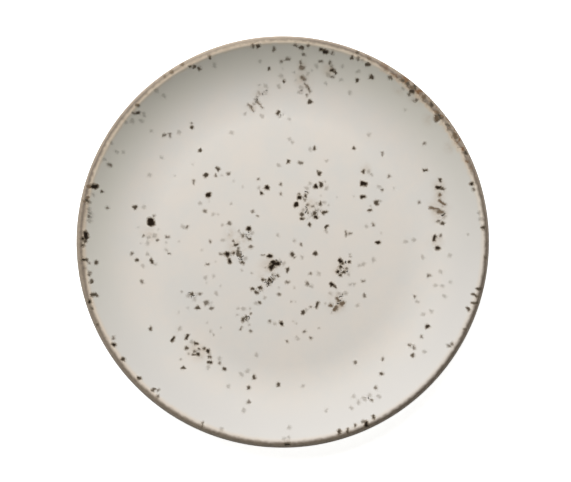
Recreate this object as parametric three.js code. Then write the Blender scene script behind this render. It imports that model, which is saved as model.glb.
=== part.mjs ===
// A round coupe dinner plate in stoneware: one turned clay body, coated with glaze on the face, round the
// lip, on the back and in the well of the foot ring. Only the bottom of the foot ring is bare clay.
// Millimetres, +Z up. The origin is on the table, in the middle of the foot ring.
import * as THREE from 'three';

// Driving dimensions of the finished plate
const PLATE_DIAMETER = 270; // over the glazed lip
const PLATE_HEIGHT = 26; // from the table to the top of the lip
const LIP_THICKNESS = 7; // across the rounded lip, glaze included
const WALL_RUN = 53; // level width of the curved wall, from the flat floor to the edge of the lip
const FLOOR_THICKNESS = 5.6; // clay between the floor and the well under it

// Driving dimensions of the foot ring
const RIM_OVERHANG = 55; // how far the lip stands out past the foot ring
const FOOT_HEIGHT = 3.4; // from the table to the clay of the well
const FOOT_WIDTH = 5.8; // across the bottom of the ring, before its edges are rounded
const FOOT_DRAFT = 2 / 15; // how far each side of the ring leans out, for each millimetre of height
const FOOT_EDGE_RADIUS = 0.8;
const FOOT_ROOT_RADIUS = 1.6;

// Driving dimensions of the coats
const GLAZE_THICKNESS = 0.4;
const BOND_GAP = 0.02; // hairline that keeps a coat and the clay two separate solids
const BARE_FOOT_HEIGHT = 1.3; // the glaze stops this far above the table
const BAND_INSIDE = 1.2; // how far the brown band runs down the face, from where the lip starts to round
const BAND_OUTSIDE = 1.2; // and down the back

// How finely the round shapes are cut
const TURN_STEPS = 56;
const WALL_STEPS = 8;
const LIP_STEPS = 8;
const BAND_STEPS = 2;
const ROUND_STEPS = 3;

// The outline is drawn in half section, x being the distance from the axis and y the height.
const plateRadius = PLATE_DIAMETER / 2;
const coat = BOND_GAP + GLAZE_THICKNESS;
const lipRadius = LIP_THICKNESS / 2 - coat;
const lipCentre = new THREE.Vector2(plateRadius - LIP_THICKNESS / 2, PLATE_HEIGHT - LIP_THICKNESS / 2);

// Points along an arc, both ends included.
function arcPoints(centre, radius, from, to, steps) {
  const clockwise = to < from;
  return new THREE.ArcCurve(centre.x, centre.y, radius, from, to, clockwise).getPoints(steps);
}

// The arc that leaves level ground at start and touches the clay's lip circle: it passes over the lip on the
// face (side 1) and under it on the back (side -1). slope is its steepness where it touches.
function risingArc(start, side) {
  const run = lipCentre.x - start.x;
  const rise = lipCentre.y - start.y;
  const radius = (run ** 2 + rise ** 2 - lipRadius ** 2) / (2 * (rise + side * lipRadius));
  const centre = new THREE.Vector2(start.x, start.y + radius);
  const slope = Math.atan2(run, radius - rise);
  return { centre, radius, slope };
}

// A corner of the foot ring, rounded to a radius.
function roundedCorner(before, corner, after, radius) {
  const arriving = corner.clone().sub(before).normalize();
  const leaving = after.clone().sub(corner).normalize();
  const turn = Math.atan2(arriving.cross(leaving), arriving.dot(leaving));
  const first = corner.clone().addScaledVector(arriving, -radius * Math.tan(Math.abs(turn) / 2));
  const inward = new THREE.Vector2(-arriving.y, arriving.x).multiplyScalar(Math.sign(turn) * radius);
  const centre = first.clone().add(inward);
  const from = inward.negate().angle();
  return arcPoints(centre, radius, from, from + turn, ROUND_STEPS);
}

// A line of points cut in two where it crosses a height. The cut ends one part and starts the other.
function cutAtHeight(points, height) {
  const next = points.findIndex((p, i) => i > 0 && (p.y - height) * (points[i - 1].y - height) <= 0);
  const before = points[next - 1];
  const share = (height - before.y) / (points[next].y - before.y);
  const cut = before.clone().lerp(points[next], share);
  return [
    [...points.slice(0, next), cut],
    [cut, ...points.slice(next)],
  ];
}

// Foot ring: a flat ring on the table whose sides lean out to the well and to the back of the wall.
const footRadius = plateRadius - RIM_OVERHANG;
const footLean = FOOT_DRAFT * FOOT_HEIGHT;
const rootRadius = Math.min(FOOT_ROOT_RADIUS, FOOT_HEIGHT / 2);
const wellMiddle = new THREE.Vector2(0, FOOT_HEIGHT);
const innerRoot = new THREE.Vector2(footRadius - FOOT_WIDTH - footLean, FOOT_HEIGHT);
const innerEdge = new THREE.Vector2(footRadius - FOOT_WIDTH, 0);
const outerEdge = new THREE.Vector2(footRadius, 0);
const outerRoot = new THREE.Vector2(footRadius + footLean, FOOT_HEIGHT);
const backStart = new THREE.Vector2(outerRoot.x + rootRadius, FOOT_HEIGHT);
const innerSide = [
  ...roundedCorner(wellMiddle, innerRoot, innerEdge, rootRadius),
  ...roundedCorner(innerRoot, innerEdge, outerEdge, FOOT_EDGE_RADIUS),
];
const outerSide = [
  ...roundedCorner(innerEdge, outerEdge, outerRoot, FOOT_EDGE_RADIUS),
  ...roundedCorner(outerEdge, outerRoot, backStart, rootRadius),
];
const [innerGlazed, innerBare] = cutAtHeight(innerSide, BARE_FOOT_HEIGHT);
const [outerBare, outerGlazed] = cutAtHeight(outerSide, BARE_FOOT_HEIGHT);

// Back and face of the wall: two arcs that rise from level ground and meet the lip without a corner.
const floorEdge = new THREE.Vector2(plateRadius - WALL_RUN, FOOT_HEIGHT + FLOOR_THICKNESS);
const floorMiddle = new THREE.Vector2(0, floorEdge.y);
const back = risingArc(backStart, -1);
const face = risingArc(floorEdge, 1);
const DOWN = -Math.PI / 2;
const bandBack = DOWN + back.slope - BAND_OUTSIDE / back.radius;
const bandFace = DOWN + face.slope - BAND_INSIDE / face.radius;

// The clay's outline in the order that it is drawn, one list for each coat and one for the bare ring.
// Each list starts at the point where the one before it ends.
const stretches = {
  foot_well_glaze: [wellMiddle, ...innerGlazed],
  bare_foot: [...innerBare, ...outerBare],
  underside_glaze: [...outerGlazed, ...arcPoints(back.centre, back.radius, DOWN, bandBack, WALL_STEPS)],
  rim_band: [
    ...arcPoints(back.centre, back.radius, bandBack, DOWN + back.slope, BAND_STEPS),
    ...arcPoints(lipCentre, lipRadius, DOWN + back.slope, DOWN + face.slope + Math.PI, LIP_STEPS),
    ...arcPoints(face.centre, face.radius, DOWN + face.slope, bandFace, BAND_STEPS),
  ],
  face_glaze: [...arcPoints(face.centre, face.radius, bandFace, DOWN, WALL_STEPS), floorMiddle],
};

// All the stretches as one line with no point twice, and where each stretch begins and ends on it.
const SAME_POINT = 1e-6;
const outline = [];
const ends = {};
for (const [name, points] of Object.entries(stretches)) {
  const first = Math.max(outline.length - 1, 0);
  for (const point of points) {
    if (!outline.length || outline.at(-1).distanceTo(point) > SAME_POINT) outline.push(point);
  }
  ends[name] = [first, outline.length - 1];
}

// At each point, the step away from the clay that shifts both neighbouring edges by one millimetre, so that a
// coat's faces lie parallel to the clay's. On the axis the neighbour is the outline's own mirror image.
const outward = outline.map((point, i) => {
  const before = outline[i - 1] ?? new THREE.Vector2(-outline[1].x, outline[1].y);
  const after = outline[i + 1] ?? new THREE.Vector2(-outline[i - 1].x, outline[i - 1].y);
  const edges = [point.clone().sub(before), after.clone().sub(point)];
  const [one, other] = edges.map((edge) => new THREE.Vector2(edge.y, -edge.x).normalize());
  return one.clone().add(other).divideScalar(1 + one.dot(other));
});

function offsetOutline(first, last, distance) {
  const line = [];
  for (let i = first; i <= last; i += 1) {
    line.push(outline[i].clone().addScaledVector(outward[i], distance));
  }
  return line;
}

// Materials
const clay = new THREE.MeshStandardMaterial({ color: 0xb99f80, roughness: 0.85, metalness: 0 });
const offWhiteGlaze = new THREE.MeshStandardMaterial({ color: 0xd9d3cb, roughness: 0.22, metalness: 0 });
const brownOxide = new THREE.MeshStandardMaterial({ color: 0x6f5f50, roughness: 0.35, metalness: 0 });

// A piece turned about the axis. A lathe turns about Y, so the plate's group tips it up onto Z.
function turned(name, profile, material) {
  const mesh = new THREE.Mesh(new THREE.LatheGeometry(profile, TURN_STEPS), material);
  mesh.name = name;
  return mesh;
}

// A coat over one stretch of the outline: its profile starts and ends on the axis, or closes on itself.
function glazeCoat(name, material) {
  const [first, last] = ends[name];
  const outside = offsetOutline(first, last, coat);
  const inside = offsetOutline(first, last, BOND_GAP).reverse();
  if (first === 0) return turned(name, [...outside, ...inside], material);
  if (last === outline.length - 1) return turned(name, [...inside, ...outside], material);
  return turned(name, [...outside, ...inside, outside[0]], material);
}

const plate = new THREE.Group();
plate.rotation.x = Math.PI / 2;
plate.add(
  turned('stoneware_body', outline, clay),
  glazeCoat('foot_well_glaze', offWhiteGlaze),
  glazeCoat('underside_glaze', offWhiteGlaze),
  glazeCoat('rim_band', brownOxide),
  glazeCoat('face_glaze', offWhiteGlaze),
);

export default plate;
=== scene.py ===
# %% [markdown]
# # A speckled stoneware plate
# The plate is one lump of fired clay under four thin coats: off-white glaze on the face, a brown oxide band
# round the lip, and off-white glaze again on the back and in the well of the foot ring. A fixed frame holds
# those five pieces at their real size, but cut into flat facets. This lesson turns each of them again,
# finely and to the same section, gives it a finish, and then scatters the iron specks over the glaze.

# %% Load the frame and keep its box
import math
import random

import bmesh
import bpy
import numpy as np
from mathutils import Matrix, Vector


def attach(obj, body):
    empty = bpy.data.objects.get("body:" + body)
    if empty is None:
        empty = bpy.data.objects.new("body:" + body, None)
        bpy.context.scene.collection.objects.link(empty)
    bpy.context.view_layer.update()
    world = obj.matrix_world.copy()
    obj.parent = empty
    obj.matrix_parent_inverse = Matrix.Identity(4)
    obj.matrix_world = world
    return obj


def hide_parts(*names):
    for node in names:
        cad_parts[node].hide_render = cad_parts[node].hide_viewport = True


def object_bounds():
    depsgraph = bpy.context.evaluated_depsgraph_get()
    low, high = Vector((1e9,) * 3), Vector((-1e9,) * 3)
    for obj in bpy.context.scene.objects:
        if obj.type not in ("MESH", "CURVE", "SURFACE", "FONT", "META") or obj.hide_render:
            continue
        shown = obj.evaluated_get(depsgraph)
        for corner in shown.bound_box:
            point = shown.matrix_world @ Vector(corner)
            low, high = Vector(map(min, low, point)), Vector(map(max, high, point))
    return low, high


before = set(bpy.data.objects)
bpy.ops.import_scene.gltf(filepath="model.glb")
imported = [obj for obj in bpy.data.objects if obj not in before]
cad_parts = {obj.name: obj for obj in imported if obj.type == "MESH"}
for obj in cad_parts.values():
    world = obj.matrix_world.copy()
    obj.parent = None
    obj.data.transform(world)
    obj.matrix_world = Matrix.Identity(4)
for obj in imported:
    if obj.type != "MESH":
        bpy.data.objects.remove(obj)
cad_low, cad_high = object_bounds()
print("solids in the frame:", ", ".join(sorted(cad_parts)))
print(f"plate {2000 * cad_high.x:.1f} mm across and {1000 * cad_high.z:.1f} mm high")

# %% [markdown]
# ## The camera
# The photo looks down at the plate from about 4 degrees off its axis, so the rim is almost a true circle.
# An 85 mm lens at arm's length gives that view with little perspective. The camera comes first, because the
# specks are placed later by where they show in the photo: the same numbers turn a pixel into a place on the
# plate.

# %% Set up the camera from the plate's circle in the photo
PHOTO_SIZE = (571, 482)
PLATE_CENTRE_PX = (282.7, 239.55)
PLATE_RADIUS_PX = 206.65
CAMERA_ELEVATION = math.radians(85.9)
FOCAL_LENGTH_MM = 85
SENSOR_WIDTH_MM = 36
LIP_LEVEL = 0.0237

plate_radius = cad_high.x
focal_px = PHOTO_SIZE[0] * FOCAL_LENGTH_MM / SENSOR_WIDTH_MM
camera_distance = focal_px * plate_radius / PLATE_RADIUS_PX
metres_per_px = plate_radius / PLATE_RADIUS_PX
aim = np.array([
    (PHOTO_SIZE[0] / 2 - PLATE_CENTRE_PX[0]) * metres_per_px,
    (PLATE_CENTRE_PX[1] - PHOTO_SIZE[1] / 2) * metres_per_px,
    LIP_LEVEL,
])
tilt = math.pi / 2 - CAMERA_ELEVATION
camera_place = aim + camera_distance * np.array([0, -math.sin(tilt), math.cos(tilt)])

camera_data = bpy.data.cameras.new("plate_camera")
camera_data.lens = FOCAL_LENGTH_MM
camera_data.sensor_width = SENSOR_WIDTH_MM
camera = bpy.data.objects.new("plate_camera", camera_data)
camera.location = camera_place
camera.rotation_euler = (tilt, 0, 0)
bpy.context.scene.collection.objects.link(camera)
bpy.context.scene.camera = camera
print(f"camera {camera_distance:.3f} m from the lip, one pixel is {1000 * metres_per_px:.3f} mm there")

# %% [markdown]
# ## The half section
# A potter shapes a plate like this with a template that is cut to half of its section. Here the template is
# a line in numbers: the well and the foot ring, the back of the wall, the rounded lip, the face of the wall
# and the flat floor. The wall's two sides are arcs that leave level ground and touch the lip's circle, so
# nothing on the face has a corner. A formula for them follows any size, where a traced curve would have to
# be redrawn.

# %% Sizes of the section
MM = 0.001
LIP_THICKNESS = 7 * MM
WALL_RUN = 53 * MM
FLOOR_THICKNESS = 5.6 * MM
RIM_OVERHANG = 55 * MM
FOOT_HEIGHT = 3.4 * MM
FOOT_WIDTH = 5.8 * MM
FOOT_DRAFT = 2 / 15
FOOT_EDGE_RADIUS = 0.8 * MM
FOOT_ROOT_RADIUS = 1.6 * MM
GLAZE_THICKNESS = 0.4 * MM
BOND_GAP = 0.02 * MM
BARE_FOOT_HEIGHT = 1.3 * MM
BAND_WIDTH = 1.2 * MM

coat_top = BOND_GAP + GLAZE_THICKNESS
lip_radius = LIP_THICKNESS / 2 - coat_top
lip_centre = np.array([plate_radius, cad_high.z]) - LIP_THICKNESS / 2
print(f"lip centre {1000 * lip_centre[0]:.1f} mm out, {1000 * lip_centre[1]:.1f} mm up")

# %% Lines, arcs and rounded corners
DOWN = -math.pi / 2


def line(start, end, steps):
    share = np.linspace(0, 1, steps + 1)[:, None]
    return (1 - share) * np.asarray(start) + share * np.asarray(end)


def arc(centre, radius, start, end, steps):
    angles = np.linspace(start, end, steps + 1)
    return np.asarray(centre) + radius * np.column_stack([np.cos(angles), np.sin(angles)])


def rising_arc(start, side):
    """Centre, radius and end slope of the arc that leaves level ground and touches the lip's circle: over the
    lip on the face (side 1), under it on the back (side -1)."""
    run, rise = lip_centre - start
    radius = (run**2 + rise**2 - lip_radius**2) / (2 * (rise + side * lip_radius))
    return start + np.array([0, radius]), radius, math.atan2(run, radius - rise)


def rounded_corner(before, corner, after, radius, steps=8):
    arriving = (corner - before) / np.linalg.norm(corner - before)
    leaving = (after - corner) / np.linalg.norm(after - corner)
    turn = math.atan2(arriving[0] * leaving[1] - arriving[1] * leaving[0], arriving @ leaving)
    inward = math.copysign(1, turn) * np.array([-arriving[1], arriving[0]])
    centre = corner - arriving * radius * math.tan(abs(turn) / 2) + inward * radius
    start = math.atan2(-inward[1], -inward[0])
    return arc(centre, radius, start, start + turn, steps)


def at_height(start, end, height):
    return start + (end - start) * (height - start[1]) / (end[1] - start[1])


# %% Draw the clay's outline, stretch by stretch
foot_radius = plate_radius - RIM_OVERHANG
foot_lean = FOOT_DRAFT * FOOT_HEIGHT
well_middle = np.array([0, FOOT_HEIGHT])
inner_root = np.array([foot_radius - FOOT_WIDTH - foot_lean, FOOT_HEIGHT])
inner_edge = np.array([foot_radius - FOOT_WIDTH, 0])
outer_edge = np.array([foot_radius, 0])
outer_root = np.array([foot_radius + foot_lean, FOOT_HEIGHT])
back_start = outer_root + [FOOT_ROOT_RADIUS, 0]
floor_edge = np.array([plate_radius - WALL_RUN, FOOT_HEIGHT + FLOOR_THICKNESS])

inner_root_arc = rounded_corner(well_middle, inner_root, inner_edge, FOOT_ROOT_RADIUS)
inner_edge_arc = rounded_corner(inner_root, inner_edge, outer_edge, FOOT_EDGE_RADIUS)
outer_edge_arc = rounded_corner(inner_edge, outer_edge, outer_root, FOOT_EDGE_RADIUS)
outer_root_arc = rounded_corner(outer_edge, outer_root, back_start, FOOT_ROOT_RADIUS)
inner_stop = at_height(inner_root_arc[-1], inner_edge_arc[0], BARE_FOOT_HEIGHT)
outer_stop = at_height(outer_edge_arc[-1], outer_root_arc[0], BARE_FOOT_HEIGHT)

back_centre, back_radius, back_slope = rising_arc(back_start, -1)
face_centre, face_radius, face_slope = rising_arc(floor_edge, 1)
back_touch = DOWN + back_slope
face_touch = DOWN + face_slope
band_back = back_touch - BAND_WIDTH / back_radius
band_face = face_touch - BAND_WIDTH / face_radius

stretches = {
    "foot_well_glaze": [
        line(well_middle, inner_root_arc[0], 12),
        inner_root_arc,
        line(inner_root_arc[-1], inner_stop, 16),
    ],
    "bare_foot": [
        line(inner_stop, inner_edge_arc[0], 3),
        inner_edge_arc,
        line(inner_edge_arc[-1], outer_edge_arc[0], 5),
        outer_edge_arc,
        line(outer_edge_arc[-1], outer_stop, 3),
    ],
    "underside_glaze": [
        line(outer_stop, outer_root_arc[0], 16),
        outer_root_arc,
        arc(back_centre, back_radius, DOWN, band_back, 36),
    ],
    "rim_band": [
        arc(back_centre, back_radius, band_back, back_touch, 4),
        arc(lip_centre, lip_radius, back_touch, face_touch + math.pi, 28),
        arc(face_centre, face_radius, face_touch, band_face, 4),
    ],
    "face_glaze": [
        arc(face_centre, face_radius, band_face, DOWN, 40),
        line(floor_edge, [0, floor_edge[1]], 16),
    ],
}

# %% Join the stretches and measure along the line
SAME_POINT = 1e-8
outline = []
ends = {}
for name, lines in stretches.items():
    first = max(len(outline) - 1, 0)
    for point in np.vstack(lines):
        if not outline or np.linalg.norm(point - outline[-1]) > SAME_POINT:
            outline.append(point)
    ends[name] = (first, len(outline) - 1)
outline = np.array(outline)

length = np.concatenate([[0], np.cumsum(np.linalg.norm(np.diff(outline, axis=0), axis=1))])
along = np.gradient(outline, length, axis=0)
outward = np.column_stack([along[:, 1], -along[:, 0]]) / np.linalg.norm(along, axis=1)[:, None]
outward[[0, -1]] = [[0, -1], [0, 1]]
widest = np.argmax(outline[:, 0])
across = length - length[widest]
print(f"outline of {len(outline)} points, {1000 * length[-1]:.0f} mm long")
print(f"the face's wall rises to {math.degrees(face_slope):.1f} degrees at the lip")

# %% [markdown]
# ## From the photo to the plate
# Every plate of this kind has its own specks and stains, so the ones here sit where the photo shows them.
# Each was read as a pixel of the photo. The camera's own numbers turn that pixel into a ray, and the
# section says how high the face is where the ray comes down.

# %% Find the place on the face under a pixel
ROUNDS = 4
upper_skin = (outline + outward * coat_top)[:widest:-1]


def face_height(radius):
    return np.interp(radius, upper_skin[:, 0], upper_skin[:, 1])


def on_face(x, y):
    """Where the ray through the middle of a pixel meets the face. Its height is found in a few rounds."""
    right = (x + 0.5 - PHOTO_SIZE[0] / 2) / focal_px
    up = (PHOTO_SIZE[1] / 2 - y - 0.5) / focal_px
    ray = np.array([
        right,
        up * math.cos(tilt) + math.sin(tilt),
        up * math.sin(tilt) - math.cos(tilt),
    ])
    landing = aim
    for _ in range(ROUNDS):
        height = face_height(math.hypot(landing[0], landing[1]))
        landing = camera_place + ray * (height - camera_place[2]) / ray[2]
    return landing


print("the photo's middle is at", np.round(1000 * on_face(285, 240.5), 1), "mm")

# %% [markdown]
# ## A class for node maths
# Node trees are easier to read as sums than as rows of boxes. This small class holds the end of one wire.
# Sums of wires add Math nodes, and one method adds every other kind of node. Both the turning and the
# finishes use it.

# %% The end of a wire in a node tree
class Wire:
    """An output socket of a node tree, or just the tree to start from."""

    def __init__(self, tree, socket=None):
        self.tree = tree
        self.socket = socket

    def node(self, kind, settings=None, inputs=None, output=0):
        """Adds a node, sets it up, then fills its sockets with values or links. Gives one of its outputs."""
        node = self.tree.nodes.new(kind)
        for name, value in (settings or {}).items():
            setattr(node, name, value)
        for key, value in (inputs or {}).items():
            if isinstance(value, Wire):
                self.tree.links.new(value.socket, node.inputs[key])
            else:
                node.inputs[key].default_value = value
        return Wire(self.tree, node.outputs[output] if node.outputs else None)

    def beside(self, output):
        """Another output of the node that this wire comes from."""
        return Wire(self.tree, self.socket.node.outputs[output])

    def maths(self, operation, *values):
        return self.node("ShaderNodeMath", {"operation": operation}, dict(enumerate(values)))

    def __add__(self, value):
        return self.maths("ADD", self, value)

    def __sub__(self, value):
        return self.maths("SUBTRACT", self, value)

    def __mul__(self, value):
        return self.maths("MULTIPLY", self, value)

    def __truediv__(self, value):
        return self.maths("DIVIDE", self, value)

    def __radd__(self, value):
        return self.maths("ADD", value, self)

    def __rsub__(self, value):
        return self.maths("SUBTRACT", value, self)

    def __rmul__(self, value):
        return self.maths("MULTIPLY", value, self)

    def rise(self, low, high):
        """A soft step: 0 up to low, 1 from high on."""
        sockets = {"Value": self, "From Min": low, "From Max": high}
        return self.node("ShaderNodeMapRange", {"interpolation_type": "SMOOTHSTEP"}, sockets)

    def between(self, first, second):
        """A colour: first where this wire is 0, second where it is 1."""
        return self.node("ShaderNodeMix", {"data_type": "RGBA"}, {0: self, 6: first, 7: second}, 2)

    def noise(self, scale, detail=2.0, roughness=0.5):
        sockets = {"Vector": self, "Scale": scale, "Detail": detail, "Roughness": roughness}
        return self.node("ShaderNodeTexNoise", None, sockets)


# %% [markdown]
# ## The turning
# A lathe is a rule: every point of the section goes round the axis. Geometry Nodes can hold that rule once
# for all five pieces. The section comes in as a row of points, a grid is made with one row of vertices for
# each point, and each vertex is sent to its point and turned by its share of the circle. A Screw modifier
# could do it too, but the grid also carries a value from each point: how far it lies across the lip, which
# the finishes need to lay the brown band. Merging closes the seam and the middle.

# %% New trees, and a way to run one
def new_tree(name, inputs):
    """A geometry tree with named inputs. Gives the tree and the wires that leave its inputs."""
    tree = bpy.data.node_groups.new(name, "GeometryNodeTree")
    for label, kind in {"Geometry": "NodeSocketGeometry", **inputs}.items():
        tree.interface.new_socket(label, in_out="INPUT", socket_type=kind)
    tree.interface.new_socket("Geometry", in_out="OUTPUT", socket_type="NodeSocketGeometry")
    source = tree.nodes.new("NodeGroupInput")
    return tree, {socket.name: Wire(tree, socket) for socket in source.outputs if socket.name}


SHARP_EDGE = math.radians(40)


def end_tree(geometry, material):
    """Every tree ends alike: instances made real, faces smooth up to sharp edges, and a material set."""
    geometry = geometry.node("GeometryNodeRealizeInstances", None, {0: geometry})
    sockets = {0: geometry, "Shade Smooth": True}
    geometry = geometry.node("GeometryNodeSetShadeSmooth", {"domain": "FACE"}, sockets)
    bend = geometry.node("GeometryNodeInputMeshEdgeAngle")
    sharp = geometry.node("FunctionNodeCompare", {"operation": "GREATER_THAN"}, {0: bend, 1: SHARP_EDGE})
    sockets = {0: geometry, "Selection": sharp, "Shade Smooth": False}
    geometry = geometry.node("GeometryNodeSetShadeSmooth", {"domain": "EDGE"}, sockets)
    geometry = geometry.node("GeometryNodeSetMaterial", None, {"Geometry": geometry, "Material": material})
    geometry.node("NodeGroupOutput", None, {0: geometry})


def run_tree(tree, name, mesh, values):
    """Puts a mesh through a tree and keeps the result as the plain mesh of a new object."""
    piece = bpy.data.objects.new(name, mesh)
    bpy.context.scene.collection.objects.link(piece)
    modifier = piece.modifiers.new(tree.name, "NODES")
    modifier.node_group = tree
    for item in tree.interface.items_tree:
        if item.in_out == "INPUT" and item.name in values:
            modifier[item.identifier] = values[item.name]
    graph = bpy.context.evaluated_depsgraph_get()
    result = bpy.data.meshes.new_from_object(
        piece.evaluated_get(graph), preserve_all_data_layers=True, depsgraph=graph
    )
    piece.modifiers.remove(modifier)
    piece.data = result
    result.name = name
    return piece


# %% The tree that turns a section
MERGE_DISTANCE = 1e-6

turning, ends_in = new_tree("turn_section", {"Turns": "NodeSocketInt", "Material": "NodeSocketMaterial"})
section = ends_in["Geometry"]
count = section.node("GeometryNodeAttributeDomainSize", {"component": "MESH"}, {0: section}, "Point Count")
grid = section.node(
    "GeometryNodeMeshGrid",
    None,
    {"Size X": 1.0, "Size Y": 1.0, "Vertices X": count, "Vertices Y": ends_in["Turns"] + 1},
)
spot = grid.node("GeometryNodeInputPosition")
row = grid.node("ShaderNodeSeparateXYZ", None, {0: spot}, "X")
station = grid.node(
    "FunctionNodeFloatToInt", {"rounding_mode": "ROUND"}, {0: (row + 0.5) * (count - 1)}
)
angle = (row.beside("Y") + 0.5) * (2 * math.pi)


def taken_from_section(value, data_type):
    """A value of the section's points, read at each grid vertex's own point."""
    settings = {"data_type": data_type, "domain": "POINT"}
    return grid.node(
        "GeometryNodeSampleIndex", settings, {"Geometry": section, "Value": value, "Index": station}
    )


point = taken_from_section(spot, "FLOAT_VECTOR")
turned = grid.node("ShaderNodeVectorRotate", {"rotation_type": "Z_AXIS"}, {"Vector": point, "Angle": angle})
named = grid.node("GeometryNodeInputNamedAttribute", {"data_type": "FLOAT"}, {"Name": "across"})
shape = grid.node(
    "GeometryNodeStoreNamedAttribute",
    {"data_type": "FLOAT", "domain": "POINT"},
    {"Geometry": grid, "Name": "across", "Value": taken_from_section(named, "FLOAT")},
)
shape = grid.node("GeometryNodeSetPosition", None, {"Geometry": shape, "Position": turned})
shape = grid.node("GeometryNodeMergeByDistance", None, {"Geometry": shape, "Distance": MERGE_DISTANCE})
end_tree(shape, ends_in["Material"])

# %% Turn one piece
TURNS = 384


def signed_volume(mesh):
    """The volume inside a mesh, in cubic metres: negative where its faces point inwards."""
    solid = bmesh.new()
    solid.from_mesh(mesh)
    volume = solid.calc_volume(signed=True)
    open_edges = sum(not edge.is_manifold for edge in solid.edges)
    solid.free()
    return volume, open_edges


def turn_piece(name, points, values, material):
    mesh = bpy.data.meshes.new(name + "_section")
    mesh.from_pydata([(radius, 0, height) for radius, height in points], [], [])
    mesh.attributes.new("across", "FLOAT", "POINT").data.foreach_set("value", values)
    piece = run_tree(turning, name, mesh, {"Turns": TURNS, "Material": material})
    volume, open_edges = signed_volume(piece.data)
    if volume < 0:
        piece.data.flip_normals()
    print(f"{name}: {len(piece.data.polygons)} faces, {1e6 * abs(volume):.2f} cm3, {open_edges} open edges")
    return piece


# %% [markdown]
# ## The glaze and the band
# The off-white glaze is a glassy coat: smooth to the touch, faintly uneven in tint. Round the lip a brown
# oxide was sponged on before the glaze, so it is darkest on the rounded edge and breaks up into tan where
# the glaze runs over it. Three coats share that border, so one recipe gives colour, gloss and height for
# all of them, by the distance across the lip, and no seam shows where one coat ends and the next begins.

# %% Colours, and the way to set a shader
def paint(red, green, blue):
    """A colour given in display values from 0 to 255, as the linear colour that shaders take."""
    linear = []
    for value in (red, green, blue):
        share = value / 255
        linear.append(share / 12.92 if share <= 0.04045 else ((share + 0.055) / 1.055) ** 2.4)
    return (*linear, 1.0)


WARM_WHITE = paint(216, 207, 198)
COOL_WHITE = paint(210, 205, 199)
# The next two whites tint the wall by how it faces the key light: a painted warm shade tint on the shaded far
# side, a plain white on the lit near side
SHADED_WALL_WHITE = paint(208, 203, 193)
LIT_WALL_WHITE = paint(206, 201, 196)
STAIN_BROWN = paint(172, 148, 122)
FRINGE_TAN = paint(214, 190, 163)
BAND_BROWN = paint(158, 143, 127)
BAND_DARK = paint(116, 104, 93)
BAND_RUST = paint(116, 86, 60)


def new_finish(name):
    material = bpy.data.materials.new(name)
    material.use_nodes = True
    return material, Wire(material.node_tree)


def set_shader(material, sockets):
    """Fills the sockets of a material's shader with values or links."""
    tree = material.node_tree
    shader = tree.nodes["Principled BSDF"]
    for name, value in sockets.items():
        if isinstance(value, Wire):
            tree.links.new(value.socket, shader.inputs[name])
        else:
            shader.inputs[name].default_value = value


def bump(height, strength, distance):
    return height.node("ShaderNodeBump", None, {"Height": height, "Strength": strength, "Distance": distance})


# %% Stains in the white, where many specks came up together
STAIN_STRENGTH = 0.4
# Each stain: the pixel of its middle, and its radius in millimetres
STAINS = [
    (309, 205, 8), (234, 250, 9), (270, 268, 12), (336, 303, 10), (439, 205, 11), (303, 80, 9), (253, 105, 8),
    (150, 234, 10), (341, 268, 9), (197, 350, 10), (417, 96, 9), (436, 116, 6), (439, 188, 9), (435, 242, 8),
    (301, 65, 6), (304, 92, 6), (328, 70, 7), (236, 245, 6), (273, 264, 5), (339, 304, 5), (239, 251, 5),
    (262, 281, 6), (231, 234, 8), (243, 243, 8), (439, 212, 7), (400, 88, 8), (261, 95, 8), (365, 169, 6),
    (448, 147, 6), (430, 119, 8), (438, 217, 7), (239, 247, 6),
]
stains = [(on_face(x, y), radius * MM) for x, y, radius in STAINS]


def stain_share(place):
    """How much a place is stained: the sum of soft round patches."""
    share = 0
    for middle, radius in stains:
        away = place.node("ShaderNodeVectorMath", {"operation": "DISTANCE"}, {0: place, 1: middle}, "Value")
        share = share + (1 - away.rise(0.0, radius))
    return share


# %% The recipe that the coats share
THICK_FROM = (14 * MM, 42 * MM)
BAND_EDGE = 5.25 * MM
BAND_BACK_EDGE = -4.0 * MM
FRINGE_WIDTH = 3.4 * MM
FRINGE_HEADING = math.radians(130)
FRINGE_SHARE = 0.52
FRINGE_BY_HEADING = 0.22
FRINGE_BY_RUST = 0.2
# The heading of the key light's side, where the band's highlight is painted
KEY_SIDE_HEADING = math.radians(108)
DARK_HEADING = math.radians(335)
RUST_HEADING = math.radians(40)
LEFT_HEADING = math.radians(180)
LEFT_WIDENING = 0.8 * MM
RUST_WIDENING = 1.0 * MM
# How much narrower the band is painted on the key light's side, part of its painted highlight
HIGHLIGHT_NARROWING = 0.1 * MM
DARK_NARROWING = 0.4 * MM
BAND_SOFT = 1.0 * MM
BACK_SOFT = 0.6 * MM
CREST = (-2.4 * MM, -1.2 * MM)
WANDER = 2.0 * MM
RUST_WANDER = 4.0 * MM
# How much paler the band is painted on the key light's side, as a highlight
HIGHLIGHT_FADE = 0.12
DARK_SHARE = 0.42
DARK_UPPER = 0.2
DARK_DARKER = 0.34
DARK_RUSTY = 0.1
DARK_LEFT = 0.15
MOTTLE_SHARE = 0.3


def heading_share(place, heading):
    """How far a place lies towards a heading round the plate: 1 straight that way, -1 on the other side."""
    level = place.node("ShaderNodeVectorMath", {"operation": "MULTIPLY"}, {0: place, 1: (1, 1, 0)})
    level = place.node("ShaderNodeVectorMath", {"operation": "NORMALIZE"}, {0: level})
    towards = (math.cos(heading), math.sin(heading), 0)
    return place.node("ShaderNodeVectorMath", {"operation": "DOT_PRODUCT"}, {0: level, 1: towards}, "Value")


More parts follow.
